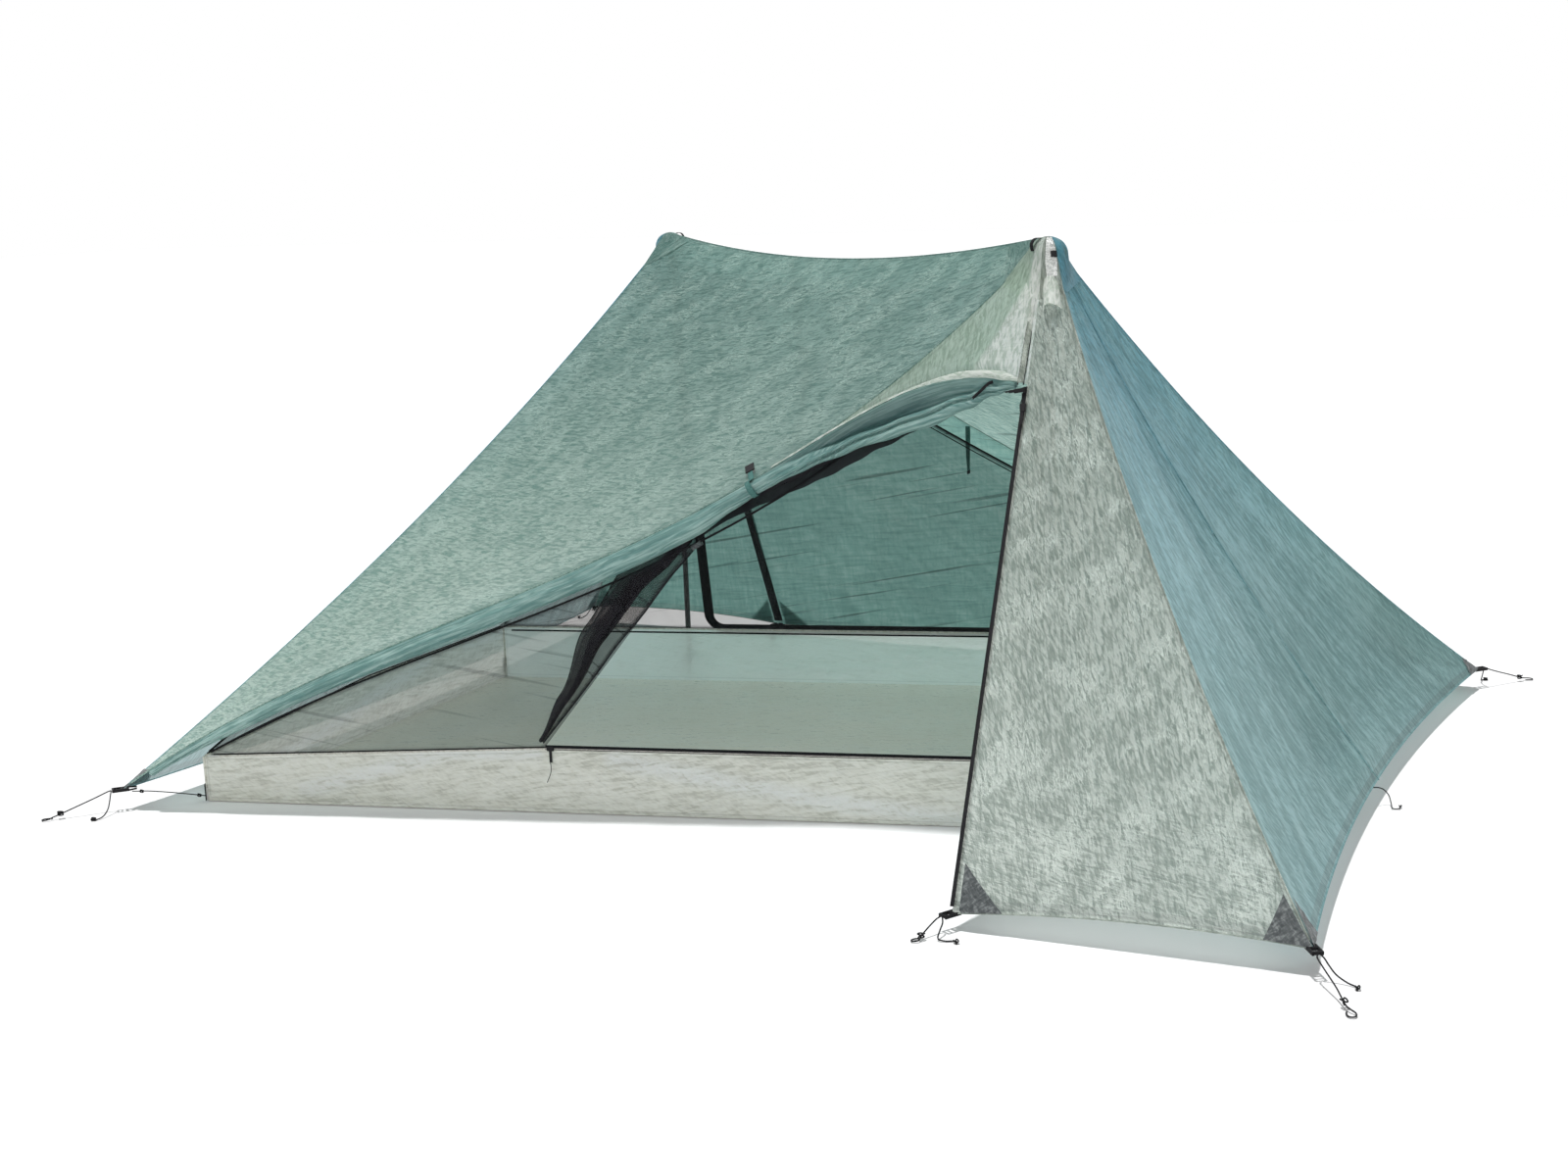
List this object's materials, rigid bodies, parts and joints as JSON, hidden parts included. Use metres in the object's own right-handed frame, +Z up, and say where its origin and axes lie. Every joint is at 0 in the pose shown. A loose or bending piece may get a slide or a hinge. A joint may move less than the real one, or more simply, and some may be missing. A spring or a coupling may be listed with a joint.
{
  "type": "trekking pole tent",
  "caption": "Low ridge tent pitched on trekking poles, with a skewed bathtub floor, mesh inner, side door tied back and a closed rear door.",
  "frame": {"origin": "on the ground in the middle of the tent, below the middle of the ridge", "axes": "+X along the tent's length to the right seen from the open door, +Y from the open door to the closed one, +Z up"},
  "size_m": [2.7904, 2.2522, 1.1701],
  "materials": {
    "roof_fabric": "translucent coated fabric with fine crinkle fibres, sage green",
    "end_fabric": "translucent coated fabric, blue teal",
    "door_fabric": "translucent coated fabric, pale grey green",
    "floor_fabric": "waterproof coated floor fabric, pale grey",
    "mesh": "fine black insect netting",
    "vent_film": "clear crinkled stiffened film",
    "black_plastic": "moulded black plastic",
    "black_cord": "braided black cord",
    "ribbon": "woven green ribbon",
    "cork_grip": "cork",
    "dark_shaft": "dark anodised tube",
    "pole_tip": "dark anodised tube with a black basket and tip"
  },
  "bodies": {
    "shelter": {"roof_front": "roof_fabric", "roof_rear": "roof_fabric", "door_front_rolled": "roof_fabric", "peak_cap_near": "roof_fabric", "peak_cap_far": "roof_fabric", "end_wall_right": "end_fabric", "end_wall_left": "end_fabric", "door_front_fixed": "door_fabric", "door_front_header": "door_fabric", "door_rear_left": "door_fabric", "door_rear_right": "door_fabric", "bathtub_floor": "floor_fabric", "mesh_roof_front": "mesh", "mesh_roof_rear": "mesh", "mesh_end_right": "mesh", "mesh_end_left": "mesh", "mesh_rear_wall": "mesh", "mesh_front_side": "mesh", "mesh_front_end": "mesh", "mesh_front_door": "mesh", "vent_hood_near": "vent_film", "vent_hood_far": "vent_film", "tensioner_front_left": "black_plastic", "tensioner_front_right": "black_plastic", "tensioner_rear_right": "black_plastic", "tensioner_rear_left": "black_plastic", "tensioner_door_rear": "black_plastic", "fly_zip_rear": "black_plastic", "inner_zip_front": "black_plastic", "inner_zip_rear": "black_plastic", "guy_line_front_left": "black_cord", "guy_line_front_right": "black_cord", "guy_line_rear_right": "black_cord", "guy_line_rear_left": "black_cord", "guy_line_door_rear": "black_cord", "floor_cord_left": "black_cord", "floor_cord_right": "black_cord", "side_cord_right": "black_cord", "side_cord_left": "black_cord", "tie_back_front": "ribbon", "tie_back_rear": "ribbon", "pole_grip_near": "cork_grip", "pole_grip_far": "cork_grip", "pole_upper_near": "dark_shaft", "pole_upper_far": "dark_shaft"},
    "door_flap": {"door_front_flap": "door_fabric", "fly_zip_front": "black_plastic", "tensioner_door_front": "black_plastic", "guy_line_door_front": "black_cord"},
    "fly_slider_front": {"fly_slider_front": "black_plastic"},
    "fly_slider_rear": {"fly_slider_rear": "black_plastic"},
    "inner_slider_front": {"inner_slider_front": "black_plastic"},
    "inner_slider_rear": {"inner_slider_rear": "black_plastic"},
    "pole_lower_near": {"pole_lower_near": "pole_tip"},
    "pole_lower_far": {"pole_lower_far": "pole_tip"},
    "pole_lever_near": {"pole_lever_near": "black_plastic"},
    "pole_lever_far": {"pole_lever_far": "black_plastic"},
    "vent_strut_near": {"vent_strut_near": "black_plastic"},
    "vent_strut_far": {"vent_strut_far": "black_plastic"},
    "tie_tab": {"tie_back_tab": "black_plastic"}
  },
  "joints": [
    {"name": "door_flap_swing", "type": "hinge", "parent": "shelter", "child": "door_flap", "pos_m": [1.2775, -0.982, 0.047], "axis": [-0.5453, 0.3533, 0.7601], "range_deg": [0, 90]},
    {"name": "fly_slider_front_slide", "type": "slide", "parent": "door_flap", "child": "fly_slider_front", "axis": [0, -0.43, -0.9028], "range_m": [0, 0.85]},
    {"name": "fly_slider_rear_slide", "type": "slide", "parent": "shelter", "child": "fly_slider_rear", "axis": [0, -0.43, 0.9028], "range_m": [0, 1]},
    {"name": "inner_slider_front_slide", "type": "slide", "parent": "shelter", "child": "inner_slider_front", "axis": [0.971, 0.2391, 0], "range_m": [0, 0.92]},
    {"name": "inner_slider_rear_slide", "type": "slide", "parent": "shelter", "child": "inner_slider_rear", "axis": [0.971, 0.2391, 0], "range_m": [-0.1, 0.8]},
    {"name": "pole_near_length", "type": "slide", "parent": "shelter", "child": "pole_lower_near", "axis": [0, 0, 1], "range_m": [-0.15, 0.33]},
    {"name": "pole_far_length", "type": "slide", "parent": "shelter", "child": "pole_lower_far", "axis": [0, 0, 1], "range_m": [-0.15, 0.33]},
    {"name": "pole_lever_near_turn", "type": "hinge", "parent": "shelter", "child": "pole_lever_near", "pos_m": [0.65, -0.4718, 0.517], "axis": [0, 0, -1], "range_deg": [0, 110]},
    {"name": "pole_lever_far_turn", "type": "hinge", "parent": "shelter", "child": "pole_lever_far", "pos_m": [-0.65, 0.4718, 0.517], "axis": [0, 0, -1], "range_deg": [0, 110]},
    {"name": "vent_strut_near_fold", "type": "hinge", "parent": "shelter", "child": "vent_strut_near", "pos_m": [0.68728, -0.51275, 1.05758], "axis": [-0.973, -0.1145, -0.2005], "range_deg": [0, 80]},
    {"name": "vent_strut_far_fold", "type": "hinge", "parent": "shelter", "child": "vent_strut_far", "pos_m": [-0.68629, 0.51418, 1.05612], "axis": [0.9783, 0.1051, -0.1787], "range_deg": [0, 80]},
    {"name": "tie_tab_lift", "type": "hinge", "parent": "shelter", "child": "tie_tab", "pos_m": [0.08447, -0.58917, 0.73076], "axis": [0.8591, 0.2644, 0.4383], "range_deg": [0, 120]}
  ]
}
